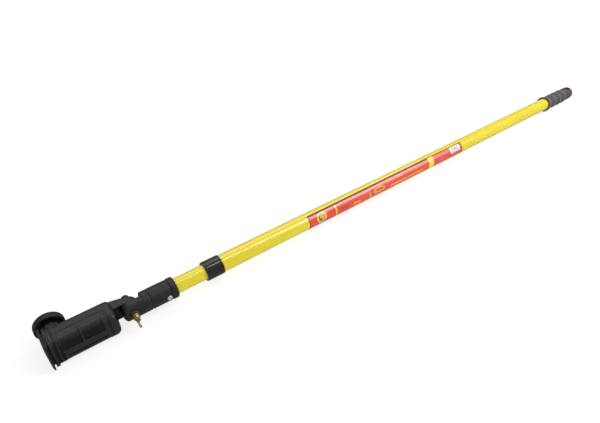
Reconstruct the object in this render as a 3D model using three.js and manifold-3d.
// Two-section telescopic sanding pole with a tilting clamp head.
// Millimetres, +Z up. The pole lies along X: the head is at low X and the grip at high X.
// Lengthwise places are stations: distances along the pole from the head's front plate.
// The sides are named from the wing nut: near is -Y (wing nut), far is +Y (clamp knob).

import * as THREE from "three";
import { mergeVertices } from "three/addons/utils/BufferGeometryUtils.js";
import Module from "manifold-3d";

const wasm = await Module();
wasm.setup();

// ---------------------------------------------------------------- driving dimensions

const OVERALL_LENGTH = 1141;
const GAP = 0.3; // between pieces that touch in the real pole
const BORE_SLACK = 0.3; // radial room round a screw, rivet or bolt
const ROUND_SIDES = 36;
const GRIP_SIDES = 28;
const SMALL_SIDES = 20;

const OUTER_TUBE = { radius: 12.5, wall: 0.8, front: 205.6, rear: 1107 };
const INNER_TUBE = { radius: 10.55, wall: 0.8, front: 128.4, rear: 985 };
const COLLAR = { front: 202.5, rear: 227.3, radius: 13.55, lip: 2.8 };
const LABEL = { front: 374, rear: 737, thickness: 0.25, topAngle: 14, wrapAngle: 215 };
const GRIP = { front: 1035, radius: 13.6, ringRadius: 14.4, flangeRadius: 16, flangeWidth: 3.5 };
const GRIP_RINGS = { count: 4, first: 1039.5, pitch: 19, width: 9.5 };
const HANG_HOLE = { station: 1127, radius: 5 };
const TUBE_PLUG = { front: 1098, lipWidth: 1.5 };

const ADAPTER = { shoulder: 115.6, rear: 160, radius: 13.85, flangeRadius: 14.3, flangeWidth: 7.5 };
const ADAPTER_GROOVES = [{ station: 124.4, width: 1.4 }, { station: 151, width: 1.6 }];
const GROOVE_DEPTH = 0.7;
const RIVET = { station: 146.5, radius: 1.6, headRadius: 3.2, headHeight: 1.1 };

const PIVOT = { station: 101, boltRadius: 2.9, headRadius: 5, headTop: 21.5, tipY: -24 };
const TONGUE = { halfHeight: 12.5, farFace: 1, seatY: -13, seatRadius: 7.2 };
const ARM = { halfHeight: 11, root: 70, rootY: 17.5, endY: 10, bossRadius: 6.5, bossTop: 15.5 };
const WASHER = { radius: 6.4, thickness: 1.2 };
const WING_NUT = { hubRadius: 4.8, hubLength: 5.5, wingTipZ: 10.4, wingTipY: -28, wingThickness: 2.4 };

const HOUSING = { front: 4.5, rear: 81.8, halfWidth: 17.8, corner: 9.5 };
const FLANGE = { width: 4, halfWidth: 18.6, corner: 9.5 };
const RIB = { front: 11.4, rear: 14.3 };
const SOCKET = { halfWidth: 14.3, corner: 6, depth: 74 };
const WINDOWS = [{ front: 17.1, rear: 38.7 }, { front: 44.7, rear: 64.3 }];
const WINDOW_ANGLES = [16, 84]; // degrees above the horizontal, seen along the pole
const LOWER_RECESS = { front: 17, rear: 68, angles: [-74, -16] };
const WINDOW_DEPTH = 1;
const BEZEL = { thickness: 2.5, halfWidth: 20.5, corner: 8.5, spigotLength: 8, spigotWall: 1.2 };

const KNOB = { station: 14, radius: 18, nearY: 29, farY: 39, skirt: 2.6, hollow: 5.5 };
const BOSS = { radius: 12, top: 27 };
const CLAMP_NUT = { radius: 6, nearY: 18.8, farY: 26.6 };
const CLAMP_SCREW = { radius: 4, neckRadius: 2.6, shoulderY: 14.3, tipY: 9.6, headY: 36 };
const JAW = { front: 8, rear: 44, halfHeight: 8, nearY: 11.3, farY: 14 };
const JAW_PAD = { nearY: 8.2, farY: 11 };
const JAW_CLIP = { nearY: 10, farY: 11, radius: 5 };
const FIXED_PAD = { front: 12, rear: 50, halfHeight: 8, nearY: -14, farY: -11.5 };

const LOCK_PLUG = { front: 961, rear: 987.5, flangeRadius: 10.4 };
const LOCK_SCREW = { front: 968, rear: 1036, radius: 4 };
const SLEEVE = { front: 991, rear: 1021, boreFront: 7.4, boreRear: 9.4, slot: 3 };
const CONE = { front: 1008, rear: 1028.5, radiusFront: 6.2, radiusRear: 8.6, key: 2.2 };
const END_NUT = { front: 1032, rear: 1035.6, radius: 7 };

// ---------------------------------------------------------------- finishes

const paint = (color, roughness, metalness = 0) => ({ color, roughness, metalness });
const YELLOW_PAINT = paint(0xe8d62e, 0.32);
const BLACK_PLASTIC = paint(0x2a2a2c, 0.5);
const GLOSS_BLACK = paint(0x18181a, 0.25);
const GRIP_RUBBER = paint(0x3b3938, 0.75);
const SOFT_RUBBER = paint(0x1d1d1d, 0.9);
const RED_FILM = paint(0xd8412c, 0.35);
const STEEL = paint(0x9a9a9c, 0.3, 1);
const ZINC_YELLOW = paint(0xc9a85a, 0.3, 1);
const BRASS = paint(0xb9974a, 0.3, 1);
const ALUMINIUM = paint(0xd0d0d2, 0.35, 1);
const NYLON = paint(0xd9d6cc, 0.55);

// ---------------------------------------------------------------- solids

/** Closed three.js geometry to a manifold solid with its faces pointing out. */
function solid(geometry) {
  geometry.deleteAttribute("normal");
  geometry.deleteAttribute("uv");
  const merged = mergeVertices(geometry, 1e-4);
  const positions = merged.attributes.position.array;
  const corner = (index) => new THREE.Vector3().fromArray(positions, 3 * index);
  const triangles = [];
  let volume = 0;
  for (let i = 0; i < merged.index.count; i += 3) {
    const [a, b, c] = [0, 1, 2].map((offset) => merged.index.getX(i + offset));
    if (a === b || b === c || c === a) continue;
    triangles.push([a, b, c]);
    volume += corner(a).dot(corner(b).cross(corner(c)));
  }
  const outward = volume > 0 ? triangles : triangles.map(([a, b, c]) => [a, c, b]);
  return new wasm.Manifold(new wasm.Mesh({
    numProp: 3,
    vertProperties: new Float32Array(positions),
    triVerts: new Uint32Array(outward.flat()),
  }));
}

/** Manifold solid back to a three.js geometry. */
function geometryOf(body) {
  const mesh = body.getMesh();
  const geometry = new THREE.BufferGeometry();
  geometry.setAttribute("position", new THREE.BufferAttribute(new Float32Array(mesh.vertProperties), 3));
  geometry.setIndex([...mesh.triVerts]);
  geometry.computeVertexNormals();
  return geometry;
}

function named(name, body, finish) {
  const mesh = new THREE.Mesh(geometryOf(body), new THREE.MeshStandardMaterial(finish));
  mesh.name = name;
  return mesh;
}

/** Profile of [station, radius] pairs turned about the pole's axis. */
function turned(profile, sides = ROUND_SIDES) {
  const points = profile.map(([station, radius]) => new THREE.Vector2(radius, station));
  return solid(new THREE.LatheGeometry(points, sides).rotateZ(-Math.PI / 2));
}

/** Hollow profile: an outer and an inner line of [station, radius] pairs, both front to rear. */
function turnedRing(outer, inner, sides = ROUND_SIDES) {
  return turned([...outer, ...[...inner].reverse(), outer[0]], sides);
}

/** Profile of [y, radius] pairs turned about a crosswise axis at a station. */
function turnedAcross(profile, station, sides = ROUND_SIDES) {
  const points = profile.map(([y, radius]) => new THREE.Vector2(radius, y));
  return solid(new THREE.LatheGeometry(points, sides).translate(station, 0, 0));
}

/** Crosswise pin or bore cutter of one radius. */
function pinAcross(station, radius, fromY, toY, sides = SMALL_SIDES) {
  return turnedAcross([[fromY, 0], [fromY, radius], [toY, radius], [toY, 0]], station, sides);
}

/** Outline in the YZ plane extruded from one station to another. */
function section(shape, front, rear, curveSegments = 3) {
  const options = { depth: rear - front, bevelEnabled: false, curveSegments };
  const alongX = new THREE.Matrix4().makeBasis(
    new THREE.Vector3(0, 1, 0), new THREE.Vector3(0, 0, 1), new THREE.Vector3(1, 0, 0));
  const geometry = new THREE.ExtrudeGeometry(shape, options).applyMatrix4(alongX);
  return solid(geometry.translate(front, 0, 0));
}

/** Outline in the XZ plane extruded from nearY to farY. */
function sidePlate(shape, nearY, farY, curveSegments = 8) {
  const options = { depth: farY - nearY, bevelEnabled: false, curveSegments };
  const geometry = new THREE.ExtrudeGeometry(shape, options).rotateX(Math.PI / 2);
  return solid(geometry.translate(0, farY, 0));
}

/** Outline in the XY plane extruded from lowZ to highZ. */
function levelPlate(shape, lowZ, highZ, curveSegments = 8) {
  const options = { depth: highZ - lowZ, bevelEnabled: false, curveSegments };
  return solid(new THREE.ExtrudeGeometry(shape, options).translate(0, 0, lowZ));
}

function box(front, rear, nearY, farY, lowZ, highZ) {
  const geometry = new THREE.BoxGeometry(rear - front, farY - nearY, highZ - lowZ);
  geometry.translate((front + rear) / 2, (nearY + farY) / 2, (lowZ + highZ) / 2);
  return solid(geometry);
}

function polygon(points) {
  return new THREE.Shape(points.map(([u, v]) => new THREE.Vector2(u, v)));
}

/** Square outline with round corners, centred on the pole's axis. */
function roundedSquare(halfWidth, corner) {
  const flat = halfWidth - corner;
  const quarter = Math.PI / 2;
  const shape = new THREE.Shape();
  shape.absarc(flat, -flat, corner, -quarter, 0);
  shape.absarc(flat, flat, corner, 0, quarter);
  shape.absarc(-flat, flat, corner, quarter, 2 * quarter);
  shape.absarc(-flat, -flat, corner, 2 * quarter, 3 * quarter);
  return shape;
}

// ---------------------------------------------------------------- pole

function outerTube() {
  const { radius, wall, front, rear } = OUTER_TUBE;
  return turnedRing([[front, radius], [rear, radius]], [[front, radius - wall], [rear, radius - wall]]);
}

/** Printed film round part of the outer tube, from just past the top down the near side. */
function wrapLabel() {
  const inner = OUTER_TUBE.radius + 0.1;
  const outer = inner + LABEL.thickness;
  const shell = turnedRing(
    [[LABEL.front, outer], [LABEL.rear, outer]], [[LABEL.front, inner], [LABEL.rear, inner]]);
  const uncovered = new THREE.Shape([new THREE.Vector2(0, 0)]);
  const steps = 6;
  const start = 90 + LABEL.topAngle + LABEL.wrapAngle; // angles from +Y towards +Z
  const sweep = 360 - LABEL.wrapAngle;
  for (let i = 0; i <= steps; i += 1) {
    const angle = THREE.MathUtils.degToRad(start + (sweep * i) / steps);
    uncovered.lineTo(2 * outer * Math.cos(angle), 2 * outer * Math.sin(angle));
  }
  return shell.subtract(section(uncovered, LABEL.front - 1, LABEL.rear + 1));
}

/** Collar pressed over the outer tube's mouth, its lip guiding the inner tube. */
function mouthCollar() {
  const { front, rear, radius, lip } = COLLAR;
  const guide = INNER_TUBE.radius + GAP;
  const seat = OUTER_TUBE.radius + GAP;
  return turnedRing(
    [[front, radius - 0.9], [front + 0.9, radius], [rear - 0.6, radius], [rear, radius - 0.5]],
    [[front, guide], [front + lip, guide], [front + lip, seat], [rear, seat]]);
}

/** Ribbed sleeve with a front flange and a solid, rounded end that carries the hang hole. */
function rubberGrip() {
  const { front, radius, ringRadius, flangeRadius, flangeWidth } = GRIP;
  const seat = OUTER_TUBE.radius + GAP;
  const seatEnd = OUTER_TUBE.rear + TUBE_PLUG.lipWidth + 2 * GAP;
  const outer = [
    [front, flangeRadius - 1], [front + 1, flangeRadius],
    [front + flangeWidth - 1, flangeRadius], [front + flangeWidth, radius],
  ];
  for (let i = 0; i < GRIP_RINGS.count; i += 1) {
    const start = GRIP_RINGS.first + i * GRIP_RINGS.pitch;
    const end = start + GRIP_RINGS.width;
    outer.push([start, radius], [start + 1, ringRadius], [end - 1, ringRadius], [end, radius]);
  }
  const capRadius = radius - 0.4;
  const capLength = 9;
  for (let i = 0; i <= 5; i += 1) {
    const angle = (i / 5) * (Math.PI / 2);
    const station = OVERALL_LENGTH - capLength + capLength * Math.sin(angle);
    outer.push([station, i === 5 ? 0 : capRadius * Math.cos(angle) ** 0.7]);
  }
  const inner = [[seatEnd, 0], [seatEnd, seat], [front, seat], outer[0]];
  const body = turned([...outer, ...inner], GRIP_SIDES);
  const hole = new THREE.Shape();
  hole.absarc(HANG_HOLE.station, 0, HANG_HOLE.radius, 0, 2 * Math.PI);
  return body.subtract(levelPlate(hole, -2 * radius, 2 * radius, 10));
}

/** Moulded plug that closes the outer tube inside the grip. */
function tubeEndPlug() {
  const body = OUTER_TUBE.radius - OUTER_TUBE.wall - GAP;
  const rim = OUTER_TUBE.rear + GAP;
  const end = rim + TUBE_PLUG.lipWidth;
  return turned([
    [TUBE_PLUG.front, 0], [TUBE_PLUG.front, body], [rim, body],
    [rim, OUTER_TUBE.radius - 0.2], [end, OUTER_TUBE.radius - 0.2], [end, 0]]);
}

function innerTube() {
  const { radius, wall, front, rear } = INNER_TUBE;
  const tube = turnedRing(
    [[front, radius], [rear, radius]], [[front, radius - wall], [rear, radius - wall]]);
  return tube.subtract(pinAcross(RIVET.station, RIVET.radius + BORE_SLACK, -radius - 1, radius + 1));
}

// ---------------------------------------------------------------- twist lock inside the pole

/** Plug pressed into the inner tube's rear end, holding the lock screw. */
function innerTubePlug() {
  const { front, rear, flangeRadius } = LOCK_PLUG;
  const body = INNER_TUBE.radius - INNER_TUBE.wall - GAP;
  const rim = INNER_TUBE.rear + GAP;
  const bore = LOCK_SCREW.radius + GAP;
  return turnedRing(
    [[front, body], [rim, body], [rim, flangeRadius], [rear, flangeRadius]],
    [[front, bore], [rear, bore]]);
}

function lockScrew() {
  const { front, rear, radius } = LOCK_SCREW;
  return turned([[front, 0], [front, radius - 0.8], [front + 0.8, radius], [rear - 0.8, radius],
    [rear, radius - 0.8], [rear, 0]], SMALL_SIDES);
}

/** Stop nut on the end of the lock screw. */
function screwEndNut() {
  const { front, rear, radius } = END_NUT;
  const bore = LOCK_SCREW.radius + GAP;
  return turnedRing([[front, radius], [rear, radius]], [[front, bore], [rear, bore]], SMALL_SIDES);
}

/** Slotted sleeve that grips the outer tube when the cone is drawn into it. */
function expanderSleeve() {
  const { front, rear, boreFront, boreRear, slot } = SLEEVE;
  const radius = OUTER_TUBE.radius - OUTER_TUBE.wall - GAP;
  const sleeve = turnedRing(
    [[front, radius - 1], [front + 2, radius], [rear - 1, radius], [rear, radius - 0.6]],
    [[front, boreFront], [rear, boreRear]]);
  return sleeve.subtract(box(front - 1, rear + 1, -slot / 2, slot / 2, 0, 2 * radius));
}

/** Conical nut with a key that runs in the sleeve's slot. */
function expanderCone() {
  const { front, rear, radiusFront, radiusRear, key } = CONE;
  const bore = LOCK_SCREW.radius + GAP;
  const nut = turnedRing([[front, radiusFront], [rear, radiusRear]], [[front, bore], [rear, bore]]);
  return nut.add(box(front + 2, rear - 2, -key / 2, key / 2, bore + 0.6, radiusRear + 1.6));
}

// ---------------------------------------------------------------- adapter and hinge

/** Socket on the inner tube's front end, with the half-lap tongue of the head's hinge. */
function poleAdapter() {
  const { shoulder, rear, radius, flangeRadius, flangeWidth } = ADAPTER;
  const tongueFront = PIVOT.station - TONGUE.halfHeight;
  const outer = [[tongueFront, 0], [tongueFront, radius]];
  for (const groove of ADAPTER_GROOVES) {
    const start = groove.station - groove.width / 2;
    const end = groove.station + groove.width / 2;
    const floor = radius - GROOVE_DEPTH;
    outer.push([start, radius], [start + 0.3, floor], [end - 0.3, floor], [end, radius]);
  }
  outer.push([rear - flangeWidth, radius], [rear - flangeWidth + 0.5, flangeRadius]);
  outer.push([rear - 1, flangeRadius], [rear, flangeRadius - 0.9]);
  const bore = INNER_TUBE.radius + GAP;
  const boreEnd = INNER_TUBE.front - GAP;
  let body = turned([...outer, [rear, bore], [boreEnd, bore], [boreEnd, 0]]);

  const blockRadius = 2 * radius;
  const tongueOutline = new THREE.Shape();
  tongueOutline.absarc(PIVOT.station, 0, TONGUE.halfHeight, Math.PI / 2, 1.5 * Math.PI);
  tongueOutline.lineTo(shoulder, -TONGUE.halfHeight);
  tongueOutline.lineTo(shoulder, TONGUE.halfHeight);
  const tongueSpace = box(tongueFront - 1, shoulder, -blockRadius, blockRadius, -blockRadius, blockRadius);
  const tongueStock = sidePlate(tongueOutline, -blockRadius, TONGUE.farFace, 12);
  body = body.subtract(tongueSpace.subtract(tongueStock));
  body = body.subtract(pinAcross(PIVOT.station, PIVOT.boltRadius + BORE_SLACK, -radius - 1, radius));
  body = body.subtract(pinAcross(PIVOT.station, TONGUE.seatRadius, -radius - 1, TONGUE.seatY));
  return body.subtract(pinAcross(RIVET.station, RIVET.radius + BORE_SLACK, -radius - 1, radius + 1));
}

/** Dome-headed blind rivet through the adapter and the inner tube; side is -1 near, +1 far. */
function adapterRivet(side) {
  const { station, radius, headRadius, headHeight } = RIVET;
  const seat = ADAPTER.radius + GAP / 2;
  const tip = INNER_TUBE.radius - INNER_TUBE.wall - 2;
  return turnedAcross([
    [side * tip, 0], [side * tip, radius], [side * seat, radius], [side * seat, headRadius],
    [side * (seat + 0.45 * headHeight), headRadius], [side * (seat + headHeight), 0.5 * headRadius],
    [side * (seat + headHeight), 0]], station, SMALL_SIDES);
}

/** Bolt of the tilt hinge: round cap head on the far side, thread out to the wing nut. */
function pivotBolt() {
  const { station, boltRadius, headRadius, headTop, tipY } = PIVOT;
  const seat = ARM.bossTop + GAP / 2;
  const crown = 1.2;
  return turnedAcross([
    [tipY, 0], [tipY, boltRadius - 0.6], [tipY + 0.6, boltRadius], [seat, boltRadius],
    [seat, headRadius], [headTop - crown, headRadius], [headTop, headRadius - crown],
    [headTop, 0]], station, SMALL_SIDES);
}

const washerTop = TONGUE.seatY - GAP;
const washerBottom = washerTop - WASHER.thickness;
const nutSeat = washerBottom - GAP;

function hingeWasher() {
  const bore = PIVOT.boltRadius + BORE_SLACK;
  return turnedAcross([[washerTop, WASHER.radius], [washerBottom, WASHER.radius],
    [washerBottom, bore], [washerTop, bore], [washerTop, WASHER.radius]], PIVOT.station, SMALL_SIDES);
}

/** Two-winged nut; the wings stand up and down and splay away from the hinge. */
function wingNut() {
  const { hubRadius, hubLength, wingTipZ, wingTipY, wingThickness } = WING_NUT;
  const hubEnd = nutSeat - hubLength;
  const hub = turnedAcross([[nutSeat, 0], [nutSeat, hubRadius], [hubEnd, hubRadius - 0.8], [hubEnd, 0]],
    PIVOT.station, SMALL_SIDES);
  const wings = [-1, 1].map((side) => {
    const outline = new THREE.Shape();
    outline.moveTo(nutSeat - 0.8, side * 1.5);
    outline.lineTo(nutSeat - 1.2, side * (hubRadius + 0.6));
    outline.quadraticCurveTo(nutSeat - 5, side * (wingTipZ + 0.6), wingTipY + 2.2, side * wingTipZ);
    outline.quadraticCurveTo(wingTipY, side * wingTipZ, wingTipY, side * (wingTipZ - 2));
    outline.quadraticCurveTo(hubEnd - 3, side * 6, hubEnd + 0.6, side * 1.5);
    const front = PIVOT.station - wingThickness / 2;
    return section(outline, front, front + wingThickness, 4);
  });
  const body = hub.add(wings[0]).add(wings[1]);
  return body.subtract(pinAcross(PIVOT.station, PIVOT.boltRadius + BORE_SLACK, wingTipY, nutSeat + 1));
}

// ---------------------------------------------------------------- clamp head

/** Shallow pocket that wraps over a near corner of the housing, between two angles. */
function pocketCutter({ front, rear }, angles) {
  const { halfWidth, corner } = HOUSING;
  const outer = section(roundedSquare(halfWidth + 2, corner + 2), front, rear);
  const inner = section(
    roundedSquare(halfWidth - WINDOW_DEPTH, corner - WINDOW_DEPTH), front - 1, rear + 1);
  const reach = 3 * halfWidth;
  const [low, high] = angles;
  const [first, middle, last] = [low, (low + high) / 2, high].map((degrees) => {
    const angle = THREE.MathUtils.degToRad(degrees);
    return [-reach * Math.cos(angle), reach * Math.sin(angle)];
  });
  return outer.subtract(inner).intersect(section(polygon([[0, 0], first, middle, last]), front, rear));
}

/** Moulded body: square socket, ring ribs, knob boss and the far arm of the hinge. */
function headHousing() {
  const { front, rear, halfWidth, corner } = HOUSING;
  let body = section(roundedSquare(halfWidth, corner), front, rear);
  const ring = roundedSquare(FLANGE.halfWidth, FLANGE.corner);
  body = body.add(section(ring, front, front + FLANGE.width));
  body = body.add(section(ring, RIB.front, RIB.rear));
  for (const window of WINDOWS) body = body.subtract(pocketCutter(window, WINDOW_ANGLES));
  body = body.subtract(pocketCutter(LOWER_RECESS, LOWER_RECESS.angles));

  const armOutline = new THREE.Shape();
  armOutline.moveTo(ARM.root, -ARM.halfHeight);
  armOutline.lineTo(PIVOT.station, -ARM.halfHeight);
  armOutline.absarc(PIVOT.station, 0, ARM.halfHeight, -Math.PI / 2, Math.PI / 2);
  armOutline.lineTo(ARM.root, ARM.halfHeight);
  const nearFace = TONGUE.farFace + GAP;
  const armEnd = PIVOT.station + ARM.halfHeight;
  const armPlan = polygon([[ARM.root, nearFace], [armEnd, nearFace], [armEnd, ARM.endY],
    [rear, ARM.rootY], [ARM.root, ARM.rootY]]);
  const arm = sidePlate(armOutline, nearFace, halfWidth).intersect(
    levelPlate(armPlan, -2 * halfWidth, 2 * halfWidth));
  body = body.add(arm);
  body = body.add(pinAcross(PIVOT.station, ARM.bossRadius, ARM.endY, ARM.bossTop));

  const boss = pinAcross(KNOB.station, BOSS.radius, halfWidth - 4, BOSS.top, ROUND_SIDES);
  body = body.add(boss.intersect(box(front, rear, 0, 2 * BOSS.top, -2 * BOSS.radius, 2 * BOSS.radius)));
  body = body.subtract(
    section(roundedSquare(SOCKET.halfWidth, SOCKET.corner), front - 1, SOCKET.depth));
  body = body.subtract(pinAcross(KNOB.station, CLAMP_SCREW.radius + 0.4, 10, BOSS.top + 1));
  body = body.subtract(
    pinAcross(KNOB.station, CLAMP_NUT.radius + GAP, CLAMP_NUT.nearY - GAP, BOSS.top + 1));
  body = body.subtract(
    section(roundedSquare(SOCKET.halfWidth + BEZEL.spigotWall + GAP, SOCKET.corner),
      front - 1, BEZEL.spigotLength + GAP));
  return body.subtract(
    pinAcross(PIVOT.station, PIVOT.boltRadius + BORE_SLACK, 0, ARM.bossTop + 1));
}

/** Front plate with a raised mouth ring and a spigot that snaps into the socket. */
function frontBezel() {
  const { thickness, halfWidth, corner, spigotLength, spigotWall } = BEZEL;
  const mouth = SOCKET.halfWidth;
  let body = section(roundedSquare(halfWidth, corner), 1.2, thickness);
  body = body.add(section(roundedSquare(halfWidth - 1.6, corner - 1), 0, 1.3));
  body = body.add(section(roundedSquare(mouth + spigotWall, SOCKET.corner - 0.1), 1, spigotLength));
  return body.subtract(section(roundedSquare(mouth, SOCKET.corner), -1, spigotLength + 1));
}

/** Threaded insert in the knob boss. */
function clampNut() {
  const { radius, nearY, farY } = CLAMP_NUT;
  const bore = CLAMP_SCREW.radius + GAP;
  return turnedAcross([[nearY, radius], [farY, radius], [farY, bore], [nearY, bore], [nearY, radius]],
    KNOB.station, SMALL_SIDES);
}

function clampScrew() {
  const { radius, neckRadius, shoulderY, tipY, headY } = CLAMP_SCREW;
  return turnedAcross([[tipY, 0], [tipY, neckRadius], [shoulderY, neckRadius], [shoulderY, radius],
    [headY, radius], [headY, 0]], KNOB.station, SMALL_SIDES);
}

/** Round cup-shaped knob, its hollow side facing the boss. */
function clampKnob() {
  const { station, radius, nearY, farY, skirt, hollow } = KNOB;
  const web = nearY + hollow;
  const bore = CLAMP_SCREW.radius + GAP;
  const boreEnd = CLAMP_SCREW.headY + GAP;
  return turnedAcross([
    [nearY, radius - 0.8], [nearY + 1.2, radius], [farY - 2.2, radius], [farY - 0.8, radius - 0.8],
    [farY, radius - 2.6], [farY, 8], [farY - 0.7, 6.5], [farY - 0.7, 0], [boreEnd, 0],
    [boreEnd, bore], [web, bore], [web, radius - skirt], [nearY, radius - skirt],
    [nearY, radius - 0.8]], station);
}

function jawClip() {
  const { nearY, farY, radius } = JAW_CLIP;
  const bore = CLAMP_SCREW.neckRadius + GAP;
  return turnedAcross([[nearY, radius], [farY, radius], [farY, bore], [nearY, bore], [nearY, radius]],
    KNOB.station, SMALL_SIDES);
}

function clampJaw() {
  const { front, rear, halfHeight, nearY, farY } = JAW;
  const plate = box(front, rear, nearY, farY, -halfHeight, halfHeight);
  return plate.subtract(
    pinAcross(KNOB.station, CLAMP_SCREW.neckRadius + GAP, nearY - 1, farY + 1));
}

function jawPad() {
  const { front, rear, halfHeight } = JAW;
  const pad = box(front + 1, rear - 1, JAW_PAD.nearY, JAW_PAD.farY, 1 - halfHeight, halfHeight - 1);
  return pad.subtract(
    pinAcross(KNOB.station, JAW_CLIP.radius + 2 * GAP, JAW_PAD.nearY - 1, JAW_PAD.farY + 1));
}

function fixedPad() {
  const { front, rear, halfHeight, nearY, farY } = FIXED_PAD;
  return box(front, rear, nearY, farY, -halfHeight, halfHeight);
}

// ---------------------------------------------------------------- assembly

function group(...members) {
  const result = new THREE.Group();
  result.add(...members);
  return result;
}

const pole = group(
  named("outer_tube", outerTube(), YELLOW_PAINT),
  named("wrap_label", wrapLabel(), RED_FILM),
  named("mouth_collar", mouthCollar(), GLOSS_BLACK),
  named("rubber_grip", rubberGrip(), GRIP_RUBBER),
  named("tube_end_plug", tubeEndPlug(), BLACK_PLASTIC),
);

const twistLock = group(
  named("expander_sleeve", expanderSleeve(), NYLON),
  named("expander_cone", expanderCone(), NYLON),
  named("lock_screw", lockScrew(), STEEL),
  named("screw_end_nut", screwEndNut(), STEEL),
  named("inner_tube_plug", innerTubePlug(), NYLON),
);

const innerPole = group(
  named("inner_tube", innerTube(), YELLOW_PAINT),
  named("pole_adapter", poleAdapter(), BLACK_PLASTIC),
  named("adapter_rivet_near", adapterRivet(-1), ALUMINIUM),
  named("adapter_rivet_far", adapterRivet(1), ALUMINIUM),
);

const hinge = group(
  named("pivot_bolt", pivotBolt(), STEEL),
  named("hinge_washer", hingeWasher(), ZINC_YELLOW),
  named("wing_nut", wingNut(), ZINC_YELLOW),
);

const clamp = group(
  named("clamp_nut", clampNut(), BRASS),
  named("clamp_screw", clampScrew(), STEEL),
  named("clamp_knob", clampKnob(), BLACK_PLASTIC),
  named("jaw_clip", jawClip(), STEEL),
  named("clamp_jaw", clampJaw(), STEEL),
  named("jaw_pad", jawPad(), SOFT_RUBBER),
);

const head = group(
  named("head_housing", headHousing(), BLACK_PLASTIC),
  named("front_bezel", frontBezel(), BLACK_PLASTIC),
  named("fixed_pad", fixedPad(), SOFT_RUBBER),
  clamp,
);

const sandingPole = group(pole, twistLock, innerPole, hinge, head);

// The origin is the middle of the bounding box's underside.
const extent = new THREE.Box3().setFromObject(sandingPole);
const middle = extent.getCenter(new THREE.Vector3());
sandingPole.position.set(-middle.x, -middle.y, -extent.min.z);

export default sandingPole;
